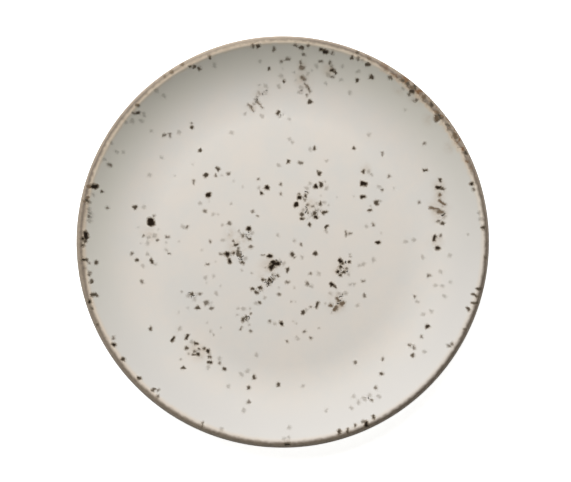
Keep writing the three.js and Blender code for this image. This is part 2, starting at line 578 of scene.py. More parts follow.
def coat_recipe(start):
    """Colour, roughness and height of a coat. The colour holds a painted warm shade tint on the wall's shaded
    far side and a painted highlight on the band towards the key light.
    """
    place = start.node("ShaderNodeTexCoord", None, None, "Object")
    lip = start.node("ShaderNodeAttribute", {"attribute_name": "across"}, None, "Fac")
    clouds = place.noise(45, 4, 0.6)
    grain = place.noise(1500, 2) - 0.5
    white = (clouds + 0.5 * grain).rise(0.25, 0.75).between(COOL_WHITE, WARM_WHITE)
    # Painted shade tint: the wall white turns warmer and a touch lighter on the far side, where the wall faces
    # away from the key light
    top = heading_share(place, KEY_SIDE_HEADING)
    wall_white_with_painted_shade = top.rise(-0.7, 0.7).between(LIT_WALL_WHITE, SHADED_WALL_WHITE)
    white = lip.rise(*THICK_FROM).between(wall_white_with_painted_shade, white)
    blotch = place.noise(140, 3, 0.6).rise(0.3, 0.7)
    white = (stain_share(place) * blotch * STAIN_STRENGTH).between(white, STAIN_BROWN)

    rusty = heading_share(place, RUST_HEADING).rise(0.9, 0.985)
    # Painted highlight: on the side towards the key light the band is made paler and a little narrower
    highlight_side = top.rise(0.88, 0.98)
    upper = top.rise(0.2, 0.6)
    darker = heading_share(place, DARK_HEADING).rise(0.5, 1.0)
    left = heading_share(place, LEFT_HEADING).rise(0.94, 0.995)
    narrowing = highlight_side * HIGHLIGHT_NARROWING + darker * DARK_NARROWING
    widening = rusty * RUST_WIDENING + left * LEFT_WIDENING
    wander = (place.noise(300, 3, 0.6) - 0.5) * (WANDER + rusty * RUST_WANDER)
    inner = lip + wander + narrowing - widening - BAND_EDGE
    outer = lip - wander - BAND_BACK_EDGE
    band = (1 - inner.rise(-BAND_SOFT, BAND_SOFT)) * outer.rise(-BACK_SOFT, BACK_SOFT)
    # The band is painted paler towards the key light, as a highlight
    band = band * (1 - HIGHLIGHT_FADE * highlight_side)
    fringe = (1 - inner.rise(0.0, FRINGE_WIDTH)) * outer.rise(-FRINGE_WIDTH, 0.0)
    tanned = FRINGE_SHARE + FRINGE_BY_HEADING * heading_share(place, FRINGE_HEADING)
    fringe = fringe * (tanned + FRINGE_BY_RUST * rusty)
    mottle = place.noise(420, 3, 0.6).rise(0.36, 0.66)
    crest = inner.rise(*CREST)
    dark = DARK_SHARE + DARK_UPPER * (upper - highlight_side) + DARK_DARKER * darker
    dark = crest * (dark + DARK_RUSTY * rusty + DARK_LEFT * left)
    brown = (MOTTLE_SHARE * mottle + dark).between(BAND_BROWN, BAND_DARK)
    brown = (rusty * place.noise(230, 2).rise(0.46, 0.6)).between(brown, BAND_RUST)
    colour = fringe.between(white, FRINGE_TAN)
    colour = band.between(colour, brown)

    roughness = 0.3 + 0.08 * clouds + 0.1 * band
    height = place.noise(55, 2) + 0.08 * place.noise(900, 2) - 0.2 * band * mottle
    return colour, roughness, height


# %% Make the finish of each glazed coat
def glazed_finish(name):
    material, start = new_finish(name)
    colour, roughness, height = coat_recipe(start)
    set_shader(material, {
        "Base Color": colour,
        "Roughness": roughness,
        "Normal": bump(height, 0.15, 0.3 * MM),
        "IOR": 1.5,
    })
    return material


off_white_glaze = glazed_finish("off_white_glaze")
brown_band = glazed_finish("brown_band")
print("finishes:", off_white_glaze.name, brown_band.name)

# %% Turn the four coats
def coat_piece(name, material):
    """A coat over its stretch of the outline. Where it stops on the foot, its edge is a rounded bead."""
    first, last = ends[name]
    stations = np.arange(first, last + 1)
    depth = np.full(len(stations), GLAZE_THICKNESS)
    for stop, touches_foot in ((first, name == "underside_glaze"), (last, name == "foot_well_glaze")):
        if touches_foot:
            distance = np.abs(length[stations] - length[stop]) / GLAZE_THICKNESS
            depth = depth * np.sqrt(1 - (1 - np.minimum(distance, 1)) ** 2)
    outside = outline[stations] + outward[stations] * (BOND_GAP + depth)[:, None]
    inside = outline[stations] + outward[stations] * BOND_GAP
    if first == 0:
        points = np.vstack([outside, inside[::-1]])
        values = np.concatenate([across[stations], across[stations][::-1]])
    elif last == len(outline) - 1:
        points = np.vstack([inside[::-1], outside])
        values = np.concatenate([across[stations][::-1], across[stations]])
    else:
        points = np.vstack([outside, inside[::-1], outside[:1]])
        values = np.concatenate([across[stations], across[stations][::-1], across[stations][:1]])
    return turn_piece(name, points, values, material)


face_glaze = coat_piece("face_glaze", off_white_glaze)
underside_glaze = coat_piece("underside_glaze", off_white_glaze)
foot_well_glaze = coat_piece("foot_well_glaze", off_white_glaze)
rim_band = coat_piece("rim_band", brown_band)

# %% [markdown]
# ## The clay
# Only the bottom of the foot ring is left bare, so the plate doesn't stick to the kiln shelf. Bare
# stoneware is matte and sandy, buff with dark grains, and it flushes a warmer tone next to the glaze.

# %% Finish and turn the clay body
CLAY_BUFF = paint(190, 164, 132)
CLAY_PALE = paint(206, 184, 154)
CLAY_FLUSH = paint(168, 122, 84)
CLAY_GRAIN = paint(92, 70, 54)


def clay_finish():
    material, start = new_finish("bare_clay")
    place = start.node("ShaderNodeTexCoord", None, None, "Object")
    height = start.node("ShaderNodeSeparateXYZ", None, {0: place}, "Z")
    sand = place.noise(1400, 3, 0.7)
    cloud = place.noise(90, 3)
    colour = cloud.rise(0.3, 0.7).between(CLAY_BUFF, CLAY_PALE)
    flush = (height + (cloud - 0.5) * 0.8 * MM).rise(0.5 * MM, 1.3 * MM)
    colour = (flush * 0.75).between(colour, CLAY_FLUSH)
    colour = (sand.rise(0.62, 0.7) * 0.8).between(colour, CLAY_GRAIN)
    set_shader(material, {
        "Base Color": colour,
        "Roughness": 0.8 + 0.15 * sand,
        "Normal": bump(sand, 0.5, 0.15 * MM),
    })
    return material


bare_clay = clay_finish()
stoneware_body = turn_piece("stoneware_clay", outline, across, bare_clay)

# %% [markdown]
# ## The specks
# Iron in the clay melts through the glaze in spots: nearly black where much of it came up, brown and soft
# where little did, rusty or olive where it ran. Fine pepper lies round the clusters. Those that the photo
# shows are listed by how dark they are, each with its pixel, its length and breadth in millimetres, and how
# far its long side is turned, in degrees.

# %% Places of the specks, as pixels of the photo
BLACK_SPECKS = [
    (266.7, 187.3, 2.9, 2.6, 0), (261, 192.5, 1.7, 1.6, 0), (208, 195, 3.1, 2.8, 0),
    (248.5, 228, 2.6, 2.6, 0), (315, 186, 2.6, 2.3, 90), (299, 197, 2.6, 2.3, 90),
    (295.5, 204.5, 3.3, 2.6, 90), (301.5, 218.5, 2.3, 1.3, 0), (315.5, 216.8, 2.7, 1.7, -25),
    (362.7, 183.4, 4.2, 2.4, 0), (362.5, 196.3, 3.4, 1.8, 0), (377.5, 242, 3.3, 2.0, 0),
    (226.5, 254, 2.6, 2.6, 0), (229, 260.5, 2.9, 2.0, 90), (269.5, 255.3, 3.3, 2.0, 0),
    (272.5, 262.5, 2.9, 2.6, 0), (277.5, 263, 2.9, 2.4, 90), (270.3, 267, 2.9, 2.6, 90),
    (269, 279.5, 2.3, 1.6, 0), (340, 260.5, 3.6, 2.6, -30), (348.7, 261.3, 1.6, 1.1, 0),
    (340, 266.5, 1.6, 1.5, 0), (337.3, 271.3, 2.3, 1.6, 90), (331.5, 284, 2.6, 2.3, 0),
    (150.5, 221, 6.0, 3.9, -75), (93.5, 185.5, 4.4, 2.6, -25), (85.5, 234.5, 5.4, 2.1, 90),
    (82, 238, 2.0, 2.0, 0), (83.5, 259, 3.9, 1.2, 0), (89, 301, 2.3, 1.6, 90),
    (207.5, 351, 2.0, 2.0, 0), (197.5, 353.5, 1.5, 1.5, 0), (209, 361.5, 3.3, 1.4, 0),
    (281, 323, 2.6, 2.0, -40), (137.5, 112.5, 1.8, 1.2, 0), (325, 51, 3.5, 2.0, 0),
    (320.5, 48.5, 1.6, 1.3, 0), (331.5, 69.5, 2.6, 1.6, 0), (438, 187, 3.3, 2.0, -10),
    (436.7, 247.7, 3.3, 2.2, 0), (471, 183.5, 2.3, 2.0, 90), (427, 326, 2.5, 2.1, 0),
    (113, 344, 2.6, 2.0, 0), (373, 416.5, 2.3, 1.0, 90), (366.5, 423.5, 3.9, 2.0, 90),
    (138.5, 377.5, 2.0, 1.2, 0), (286.5, 443.5, 3.0, 1.3, 10), (275, 263, 4.2, 1.9, 0),
    (186.5, 336.3, 4.0, 1.3, 65), (172.5, 339, 3.3, 1.3, 60), (434, 237.8, 4.2, 1.8, 75),
    (272, 265, 2.6, 1.9, 60),
]
DARK_SPECKS = [
    (205.5, 175, 3.1, 2.9, 90), (217.3, 168.3, 2.8, 1.2, -50), (288, 161.5, 1.8, 1.3, 90),
    (319, 173, 2.6, 2.0, 90), (319.7, 203.8, 2.8, 1.1, 90), (320.5, 184, 2.9, 2.0, 90),
    (305, 195, 2.0, 1.3, 90), (314, 212, 1.9, 1.4, 90), (301.5, 214, 2.3, 2.0, 90),
    (324.5, 212, 3.4, 1.5, 20), (309.5, 224, 2.3, 1.3, 90), (326, 226.5, 2.9, 1.6, 40),
    (363, 171, 2.0, 1.6, 90), (376, 202, 2.6, 2.3, 0), (369.5, 209.5, 2.3, 1.3, 0),
    (249, 238.5, 2.6, 1.3, 0), (236, 244, 3.4, 1.3, 15), (233, 253, 1.6, 1.3, 0),
    (237.5, 252, 2.6, 1.3, 90), (242, 262, 2.0, 1.3, -30), (287.3, 269, 2.6, 1.8, 100),
    (277.5, 275, 1.6, 1.3, 90), (262, 279, 1.5, 1.2, 0), (259.5, 287, 2.3, 2.0, 0),
    (252, 288.5, 2.3, 1.6, 0), (256, 292, 2.3, 1.6, 0), (259, 302, 2.0, 1.3, 0),
    (291, 254, 2.6, 2.0, -50), (315, 253, 2.3, 2.0, 0), (342.5, 262.5, 1.3, 1.2, 0),
    (340, 274.5, 1.4, 1.2, 0), (343.5, 271, 2.0, 1.6, 0), (335, 286.5, 1.6, 1.2, -30),
    (316.5, 304.5, 4.3, 1.3, 68), (302.5, 312, 2.3, 2.0, 90), (134.5, 206.5, 2.6, 2.0, 0),
    (136.5, 259.5, 2.3, 1.6, 0), (151, 261, 2.9, 1.3, -60), (101.5, 191, 1.6, 1.6, 0),
    (85, 241, 1.6, 1.4, 0), (82, 245, 2.3, 1.6, 0), (96, 262, 2.0, 1.6, 90), (91, 280.5, 2.0, 1.3, 90),
    (93, 294.5, 3.3, 2.0, 0), (150, 328.5, 2.3, 1.5, 90), (195.5, 343, 2.6, 1.3, 0),
    (186.3, 347.7, 1.8, 1.6, 0), (198.5, 348.5, 1.3, 1.3, 0), (203.5, 348, 1.3, 1.3, 0),
    (224, 368.5, 2.0, 1.6, 0), (209, 356.2, 2.4, 1.0, 0), (193.3, 354, 2.2, 1.2, 0),
    (182.5, 367.5, 2.3, 1.6, 0), (122.5, 359, 2.2, 1.8, 0), (191.5, 293.5, 2.0, 1.3, 90),
    (197.5, 307.5, 2.3, 2.0, 0), (242.5, 319.5, 2.6, 1.3, 90), (193.8, 65.8, 1.8, 1.5, 0),
    (189.7, 65.8, 1.2, 0.8, 0), (198.5, 68, 2.0, 1.8, 90), (209, 56, 1.6, 0.8, 90),
    (191.5, 127, 2.3, 2.0, 0), (199.5, 150, 2.0, 2.0, 0), (258, 45, 2.1, 2.0, 0),
    (268.7, 68, 1.8, 1.0, 90), (283.5, 80.5, 1.9, 1.2, 90), (301, 47.5, 2.6, 1.3, -20),
    (309.5, 101, 2.6, 2.0, 0), (277.5, 112.5, 3.3, 1.6, 60), (335, 72, 2.0, 1.3, -60),
    (351.5, 57.5, 1.6, 1.6, 0), (357, 52.5, 2.0, 1.3, 0), (367, 63.5, 2.6, 2.0, 0),
    (356.5, 79.5, 2.6, 2.3, 90), (371, 77, 2.6, 2.0, 130), (402, 79.5, 2.0, 1.6, 0),
    (407, 83, 2.0, 1.6, -40), (411.5, 91, 2.6, 2.0, -30), (431, 104, 3.3, 2.0, -45),
    (465.5, 152.5, 2.2, 2.0, -60), (424.5, 169.5, 2.6, 1.4, 10), (439.5, 179.5, 2.0, 1.6, 90),
    (442.5, 188.5, 2.2, 1.4, -20), (442.5, 223, 2.2, 1.6, 0), (482.5, 227.5, 2.0, 2.0, 0),
    (253.5, 377, 2.2, 1.6, 90), (248, 387, 2.0, 1.4, 90), (277.5, 384, 2.3, 1.4, 90),
    (381, 373.5, 1.7, 1.6, 90), (412.5, 355, 2.0, 1.6, 90), (152.5, 389.5, 2.0, 1.2, 0),
    (478.5, 288.5, 3.4, 1.1, 0), (474.5, 295, 4.6, 1.0, -30), (474, 302, 4.2, 0.9, 0),
    (468, 308.5, 3.0, 1.3, -55), (339, 431.5, 2.5, 1.6, 90), (347, 430, 2.6, 0.8, 90),
    (354.5, 425, 1.5, 1.0, 90), (314, 147.5, 2.3, 1.1, 90), (353, 148, 1.7, 1.4, 90),
]
BROWN_SPECKS = [
    (228.5, 223, 2.6, 2.3, 90), (141.5, 281.3, 2.3, 1.4, -70), (193, 181.3, 2.8, 1.1, 90),
    (215, 175, 2.0, 1.0, 90), (228, 173, 2.0, 1.8, 0), (257.5, 179, 1.6, 1.2, 0),
    (205, 210.5, 2.3, 2.3, 0), (252, 211, 1.6, 1.2, 90), (257, 215.5, 1.3, 0.7, 0),
    (300, 162.5, 3.3, 1.3, 0), (317.5, 170.5, 1.3, 1.2, 0), (280, 183.5, 2.0, 1.3, 90),
    (280.5, 193.5, 1.6, 1.0, 90), (298.5, 193, 1.3, 1.2, 0), (304, 199, 1.3, 1.2, 0),
    (307, 204, 1.6, 1.3, 90), (312.5, 206, 1.2, 1.0, 0), (307.5, 212, 1.6, 1.0, 90),
    (345.5, 233, 3.6, 1.0, 90), (350, 233, 2.0, 1.0, 0), (388.5, 176, 1.6, 1.3, 90),
    (382, 189.5, 1.6, 1.3, 0), (373, 224, 2.0, 1.0, 90), (209.5, 241, 1.2, 1.2, 0),
    (242.3, 235, 2.6, 1.7, 90), (250.5, 246.7, 2.2, 1.8, 0), (232.5, 241, 1.3, 1.2, 0),
    (222, 253, 3.9, 0.8, 0), (238, 248, 1.3, 1.2, 0), (240, 256, 1.3, 1.0, 0), (207, 264, 2.3, 1.0, 0),
    (262.5, 255, 2.0, 0.6, 0), (272.5, 274, 1.3, 1.0, 90), (264, 279, 2.6, 0.6, 0),
    (273, 278, 1.3, 1.3, 0), (287, 281, 2.0, 1.3, 0), (278.5, 293.5, 2.0, 1.8, 0),
    (294, 257, 1.3, 1.2, 0), (300.5, 243.5, 2.0, 1.0, 90), (310, 273, 1.6, 1.3, 90),
    (306.5, 283.5, 2.3, 2.0, 90), (347, 268.5, 1.3, 1.2, 0), (363, 280.5, 2.0, 1.0, 0),
    (364, 295, 2.0, 1.3, 90), (310, 306.5, 1.3, 1.2, 0), (153.5, 215.5, 1.3, 1.2, 0),
    (186.5, 227, 2.0, 1.6, 90), (167, 236.5, 2.6, 1.3, 0), (143, 235, 1.3, 1.2, 0),
    (157, 239.5, 2.0, 1.0, 0), (169, 253, 1.6, 1.0, 0), (131.5, 253, 1.3, 1.3, 0),
    (109, 164.5, 2.0, 1.8, 0), (88, 201.5, 2.0, 1.3, 0), (88.5, 216, 1.3, 1.2, 0),
    (107, 207.5, 1.6, 1.3, 0), (88.5, 262.5, 1.3, 1.2, 0), (89, 273, 2.6, 1.3, 90),
    (97, 295, 1.3, 1.2, 0), (91, 308, 1.4, 1.3, 0), (97, 324, 1.4, 1.3, 0), (194, 350.5, 1.3, 1.2, 0),
    (219, 362.5, 1.3, 1.3, 0), (158, 389, 1.4, 1.3, 90), (157, 395.5, 1.6, 1.3, 0),
    (199.5, 293.5, 2.0, 1.8, 0), (206, 302.5, 2.6, 2.3, 0), (211, 307.5, 2.9, 1.3, 10),
    (246, 316, 1.6, 1.3, 90), (250, 313, 1.3, 1.0, 0), (240.5, 328, 2.6, 0.8, 70),
    (250, 330.5, 1.6, 1.3, 0), (269, 321, 1.6, 1.3, 90), (286.5, 341, 1.6, 1.6, 0),
    (304, 331, 1.6, 1.6, 0), (310.5, 337.5, 1.6, 1.6, 0), (133, 113, 1.6, 1.2, 0),
    (163.5, 134.5, 2.2, 1.5, 20), (169.5, 134.5, 2.6, 1.3, 95), (252, 45.5, 1.6, 1.4, 0),
    (273.5, 48.5, 2.6, 1.8, 90), (287.5, 58.5, 3.3, 1.8, 0), (281, 61, 2.0, 1.3, 0),
    (295, 44.5, 2.6, 1.3, -20), (307.5, 45, 1.6, 1.5, 0), (303.5, 54, 2.0, 1.5, 0),
    (309, 90, 2.6, 1.2, 120), (306.5, 95, 1.6, 0.8, 90), (332.5, 52.5, 2.0, 1.6, 90),
    (320.5, 61, 2.6, 1.3, 0), (329.5, 62, 2.0, 1.3, 90), (332, 76.5, 2.4, 1.0, 0),
    (357.5, 58, 1.3, 1.3, 0), (389.5, 77.5, 2.6, 1.5, 0), (409, 93.5, 2.0, 1.4, 0),
    (415.5, 99.5, 1.8, 1.8, 0), (424, 143, 1.6, 1.5, 0), (441.5, 117, 2.0, 1.4, 0),
    (447.5, 125, 3.0, 1.5, -55), (418.5, 202, 1.8, 1.3, 0), (472.5, 189, 1.5, 1.1, 90),
    (437.5, 221, 2.0, 1.8, 0), (440, 235, 1.8, 1.3, 90), (485, 256.5, 2.2, 1.5, 90),
    (382, 153, 2.4, 1.0, 90), (248, 401.5, 2.0, 1.8, 90), (421, 336.5, 1.8, 1.1, 90),
    (414, 296, 1.8, 1.8, 0), (428.5, 275.5, 1.8, 1.8, 0), (355, 362, 2.0, 1.7, 90),
    (382, 358.5, 2.0, 1.1, 90), (375, 387, 2.0, 1.2, 90), (409, 345, 1.8, 1.4, 0),
    (413.5, 347, 1.8, 1.4, 90), (371, 399.5, 1.5, 1.2, 0), (113, 337, 2.6, 1.4, 90),
    (448.5, 345.5, 2.0, 1.4, 0), (452, 343, 1.8, 1.4, 90), (464, 329, 1.6, 1.0, 0),
    (202, 424, 3.2, 0.8, 90), (191, 123, 1.0, 1.0, 0), (363, 421.5, 2.0, 1.3, 0),
]
RUSTY_SPECKS = [
    (436.3, 118, 3.6, 2.0, 90), (436.5, 118.5, 2.8, 1.6, 90), (337, 299, 3.3, 1.3, -60),
    (342, 303, 3.3, 2.3, 30), (330, 305, 2.6, 2.0, 90), (335, 308, 3.6, 2.0, 60),
    (88, 186, 2.6, 1.6, 0), (87, 197, 1.6, 1.5, 0), (83.5, 200.5, 1.8, 1.5, 0),
    (136.5, 105, 2.6, 1.4, 0), (164, 76.5, 1.6, 1.4, 30), (182, 64, 1.8, 1.5, 30),
    (171, 72, 1.8, 1.5, 35), (368.5, 58, 1.6, 1.5, 0), (412, 87, 2.6, 2.0, -40),
    (423.5, 97, 2.8, 2.6, 0), (437, 112, 2.0, 1.6, 90), (454.5, 135.5, 4.6, 2.0, -60),
    (439, 194.5, 2.0, 1.3, 90), (442, 202, 5.4, 1.2, -35), (433, 208, 6.0, 1.0, -15),
    (440, 211.5, 4.0, 2.0, -10),
]
OLIVE_SPECKS = [
    (300.5, 62, 2.0, 1.3, 90), (301.5, 67.5, 3.6, 2.0, -25), (302.7, 78, 3.6, 1.8, -35),
    (306.3, 86, 4.6, 1.3, -42), (249.5, 105.5, 3.6, 0.9, -45), (252, 109.5, 2.4, 0.5, -55),
    (258, 102.5, 2.6, 0.8, -40), (261, 106.5, 2.2, 0.5, -55),
]
FAINT_SPECKS = [
    (265.5, 86), (300.5, 87), (307, 73), (258.5, 187.5), (199.5, 202.5), (212.5, 214), (222, 224.5),
    (278, 165), (326, 188), (307.5, 193), (326, 231), (324, 202.5), (318, 209), (303, 209), (311, 215),
    (277.5, 234.5), (306.5, 188), (309.5, 183), (368, 171), (371, 174), (378.5, 186), (366, 226),
    (222.5, 239.5), (251.5, 232), (244.5, 258), (213, 275.5), (205, 277), (283, 263), (269, 284),
    (255.5, 303), (264, 297), (294, 240.5), (301.5, 257), (318, 273), (311, 286), (354, 283.5),
    (350, 284), (306, 309.5), (357, 305), (330, 293.5), (338, 293), (345, 292.5), (363, 263.5),
    (373, 259.5), (359, 265), (348, 274), (143.5, 206.5), (182, 226), (148, 236.5), (154, 235),
    (147, 242.5), (166, 249.5), (147, 253.5), (142.5, 265.5), (155, 263.5), (93, 194.5), (88, 208),
    (90.5, 213), (89.5, 220.5), (84, 267), (179, 328), (191, 341.5), (208, 366.5), (219, 358),
    (210, 330.5), (228, 385.5), (188, 295.5), (194, 298.5), (216, 293.5), (247, 319), (243, 308.5),
    (274.5, 323.5), (297.5, 338.5), (256, 354.5), (143.5, 114), (141, 120.5), (125.5, 122),
    (131.5, 120.5), (151, 130.5), (161.5, 157), (149, 175), (104, 159), (116, 151.5), (123, 151),
    (111, 142), (164, 95.5), (156, 90), (214, 65.5), (178.5, 132), (231, 132.5), (280.5, 75.5),
    (259.5, 61), (299, 92), (264, 92), (257, 97), (258.5, 93), (261.5, 115.5), (244.5, 113), (278, 86),
    (288.5, 118.5), (316, 66), (331.5, 66), (327.5, 74.5), (342, 66), (340.5, 79), (362, 59.5),
    (349.5, 92.5), (357.5, 71), (325, 83), (402.5, 88.5), (444, 216.5), (478.5, 212.5), (480.5, 218.5),
    (422, 256.5), (449, 255), (405.5, 241), (413.5, 239.5), (368.5, 134), (289, 138.5), (292, 142),
    (326, 160), (310, 149), (243.5, 410.5), (241, 374), (247, 371), (302.5, 385.5), (326, 409.5),
    (283.5, 438), (288.5, 437.5), (288.5, 427), (221, 429), (422.5, 313.5), (431, 311), (417, 301),
    (440, 271.5), (442, 286), (450, 281), (444, 295.5), (435, 285), (368.5, 394.5), (364, 398.5),
    (353, 396), (357.5, 402), (351, 407.5), (378.5, 396), (424, 351),
]

# %% Give each speck its size and tone
SPECK_SEED = 11
SOFT_MARGIN = 1.7 * MM
chance = random.Random(SPECK_SEED)


def speck(landing, size, breadth, turn, tone, rust):
    """A speck's values. Its lens reaches past the core all round, so that the core can fade out in it."""
    return {
        "place": (landing[0], landing[1], 0),
        "length": size * MM + 2 * SOFT_MARGIN,
        "breadth": breadth * MM + 2 * SOFT_MARGIN,
        "turn": math.radians(turn),
        "tone": tone * chance.uniform(0.92, 1.0),
        "rust": rust,
    }


face_specks = []
# Each list with its tone, from faint at 0 to black at 1, and its share of rust
SPECK_TONES = (
    (BLACK_SPECKS, 1.0, 0.0),
    (DARK_SPECKS, 0.78, 0.05),
    (BROWN_SPECKS, 0.47, 0.1),
    (RUSTY_SPECKS, 0.62, 0.75),
    (OLIVE_SPECKS, 0.45, 0.6),
)
FAINT_SIZE = (1.6, 2.5)
FAINT_TONE = 0.22
FAINT_RUST = 0.1
FAINT_BREADTH = 0.75
for rows, tone, rust in SPECK_TONES:
    for x, y, size, breadth, turn in rows:
        face_specks.append(speck(on_face(x, y), size, breadth, turn, tone, rust))
for x, y in FAINT_SPECKS:
    size = chance.uniform(*FAINT_SIZE)
    breadth = FAINT_BREADTH * size
    face_specks.append(speck(on_face(x, y), size, breadth, chance.uniform(0, 180), FAINT_TONE, FAINT_RUST))
print(f"{len(face_specks)} specks placed on the face")

# %% Add a fine pepper round the clusters
PEPPER_SIZE = (0.5, 0.9)
PEPPER_TONE = (0.14, 0.34)
PEPPER_RUST = 0.35
PEPPER_BREADTH = 0.8
# Each pile: the pixel of its middle, its spread in millimetres and how many specks it has
PEPPER = [
    (234, 240, 9, 8), (311, 200, 9, 8), (268, 276, 7, 8), (338, 302, 6, 5), (341, 267, 6, 3), (197, 350, 8, 6),
    (150, 238, 8, 6), (303, 78, 7, 5), (256, 102, 7, 6), (437, 208, 8, 3), (414, 94, 6, 4), (246, 308, 9, 6),
    (203, 300, 9, 6), (365, 205, 12, 6), (215, 185, 12, 8), (300, 320, 14, 8), (225, 280, 12, 6),
]
for x, y, spread, count in PEPPER:
    middle = on_face(x, y)
    for _ in range(count):
        landing = (middle[0] + chance.gauss(0, spread * MM), middle[1] + chance.gauss(0, spread * MM))
        size = chance.uniform(*PEPPER_SIZE)
        tone = chance.uniform(*PEPPER_TONE)
        turn = chance.uniform(0, 180)
        face_specks.append(speck(landing, size, PEPPER_BREADTH * size, turn, tone, PEPPER_RUST))
print(f"{len(face_specks)} specks with the pepper")

# %% Scatter more specks over the back
BACK_SPECKS = 150
WELL_SPECKS = 90
well_reach = inner_root[0] - 3 * MM
back_reach = (outer_root[0] + 4 * MM, plate_radius - 6 * MM)


def scattered(count, nearest, farthest):
    """Specks at even odds over a flat ring, most of them small and faint."""
    specks = []
    for _ in range(count):
        radius = math.sqrt(chance.uniform(nearest**2, farthest**2))
        heading = chance.uniform(0, 2 * math.pi)
        landing = (radius * math.cos(heading), radius * math.sin(heading))
        size = 0.9 + 2.6 * chance.random() ** 2.5
        tone = min(1.0, 0.25 + 0.24 * size * chance.uniform(0.7, 1.3))
        specks.append(speck(landing, size, size * chance.uniform(0.6, 1), chance.uniform(0, 180), tone, 0.3))
    return specks


back_specks = scattered(WELL_SPECKS, 0, well_reach) + scattered(BACK_SPECKS, *back_reach)
print(f"{len(back_specks)} specks scattered over the back and the well")

# %% [markdown]
# ## Dropping the specks on the glaze
# A speck is a thin round lens with a ragged outline, whose material fades to nothing at its edge. It could
# be painted in the glaze's material, but then hundreds of places would sit in one node tree. Instead a tree
# of Geometry Nodes puts a lens at each place, frays its outline, and drops every vertex straight onto the
# coat under it, so the specks hug the curve of the wall.

# %% The tree that drops specks
LENS_SEGMENTS = 16
FRAY_SCALE = 1.6
UNDERSIDE = -0.001
RAY_START = 0.1
RAY_LENGTH = 0.2
dropping, drop_in = new_tree("drop_specks", {
    "Coats": "NodeSocketCollection",
    "Side": "NodeSocketFloat",
    "Rings": "NodeSocketInt",
    "Farthest": "NodeSocketFloat",
    "Lift": "NodeSocketFloat",
    "Thickness": "NodeSocketFloat",
    "Fray": "NodeSocketFloat",
    "Material": "NodeSocketMaterial",
})
drops = drop_in["Geometry"]
corner = drops.node("GeometryNodeInputPosition")


def read(name):
    return drops.node("GeometryNodeInputNamedAttribute", {"data_type": "FLOAT"}, {"Name": name})


def store(geometry, name, value):
    settings = {"data_type": "FLOAT", "domain": "POINT"}
    return geometry.node(
        "GeometryNodeStoreNamedAttribute", settings, {"Geometry": geometry, "Name": name, "Value": value}
    )


def vector(operation, first, second):
    return drops.node("ShaderNodeVectorMath", {"operation": operation}, {0: first, 1: second})


def combined(along_x, along_y, along_z):
    return drops.node("ShaderNodeCombineXYZ", None, {0: along_x, 1: along_y, 2: along_z})


lens = drops.node("GeometryNodeMeshUVSphere", None, {
    "Segments": LENS_SEGMENTS,
    "Rings": drop_in["Rings"],
    "Radius": 0.5,
})
corner_x = drops.node("ShaderNodeSeparateXYZ", None, {0: corner}, "X")
corner_y = corner_x.beside("Y")
corner_z = corner_x.beside("Z")
lens = store(lens, "along", corner_x)
lens = store(lens, "beside", corner_y)
lens = store(lens, "outer", drops.maths("GREATER_THAN", corner_z * drop_in["Side"], UNDERSIDE))
specks = drops.node("GeometryNodeInstanceOnPoints", None, {
    "Points": drops,
    "Instance": lens,
    "Rotation": combined(0, 0, read("turn")),
    "Scale": combined(read("length"), read("breadth"), drop_in["Thickness"] * (0.5 + 0.5 * read("tone"))),
})
specks = drops.node("GeometryNodeRealizeInstances", None, {0: specks})
fray = vector("DIVIDE", corner, combined(read("breadth"), read("breadth"), read("breadth")))
fray = drops.node("ShaderNodeTexNoise", None, {"Vector": fray, "Scale": FRAY_SCALE, "Detail": 2.0}, "Color")
fray = vector("SUBTRACT", fray, (0.5, 0.5, 0.5))
shift = drop_in["Fray"] * read("breadth")
fray = vector("MULTIPLY", fray, combined(shift, shift, 0))
specks = drops.node("GeometryNodeSetPosition", None, {"Geometry": specks, "Offset": fray})
level = vector("MULTIPLY", corner, (1, 1, 0))
away = drops.node("ShaderNodeVectorMath", {"operation": "LENGTH"}, {0: level}, "Value")
pull = drops.maths("MINIMUM", drop_in["Farthest"] / away, 1.0)
pulled = vector("MULTIPLY", corner, combined(pull, pull, 1))
specks = drops.node("GeometryNodeSetPosition", None, {"Geometry": specks, "Position": pulled})
coats = drops.node("GeometryNodeCollectionInfo", None, {"Collection": drop_in["Coats"]})
coats = drops.node("GeometryNodeRealizeInstances", None, {0: coats})
hit = drops.node("GeometryNodeRaycast", None, {
    "Target Geometry": coats,
    "Source Position": combined(corner_x, corner_y, RAY_START * drop_in["Side"]),
    "Ray Direction": combined(0, 0, -1 * drop_in["Side"]),
    "Ray Length": RAY_LENGTH,
}, "Hit Position")
ground = drops.node("ShaderNodeSeparateXYZ", None, {0: hit}, "Z")
landed = combined(corner_x, corner_y, ground + corner_z + drop_in["Lift"] * drop_in["Side"])
specks = drops.node("GeometryNodeSetPosition", None, {"Geometry": specks, "Position": landed})
end_tree(specks, drop_in["Material"])

# %% The finish of a speck
IRON_BLACK = paint(33, 23, 16)
IRON_BROWN = paint(90, 81, 70)
IRON_RUST = paint(110, 88, 66)
HALO_BROWN = paint(170, 154, 133)
CORE_FADE = (-0.56 * MM, 0.55 * MM)
HALO_FADE = (-0.2 * MM, 1.35 * MM)
HALO_SHARE = 0.6
RAGGED = 1.6 * MM
LEAST_COVER = 0.001


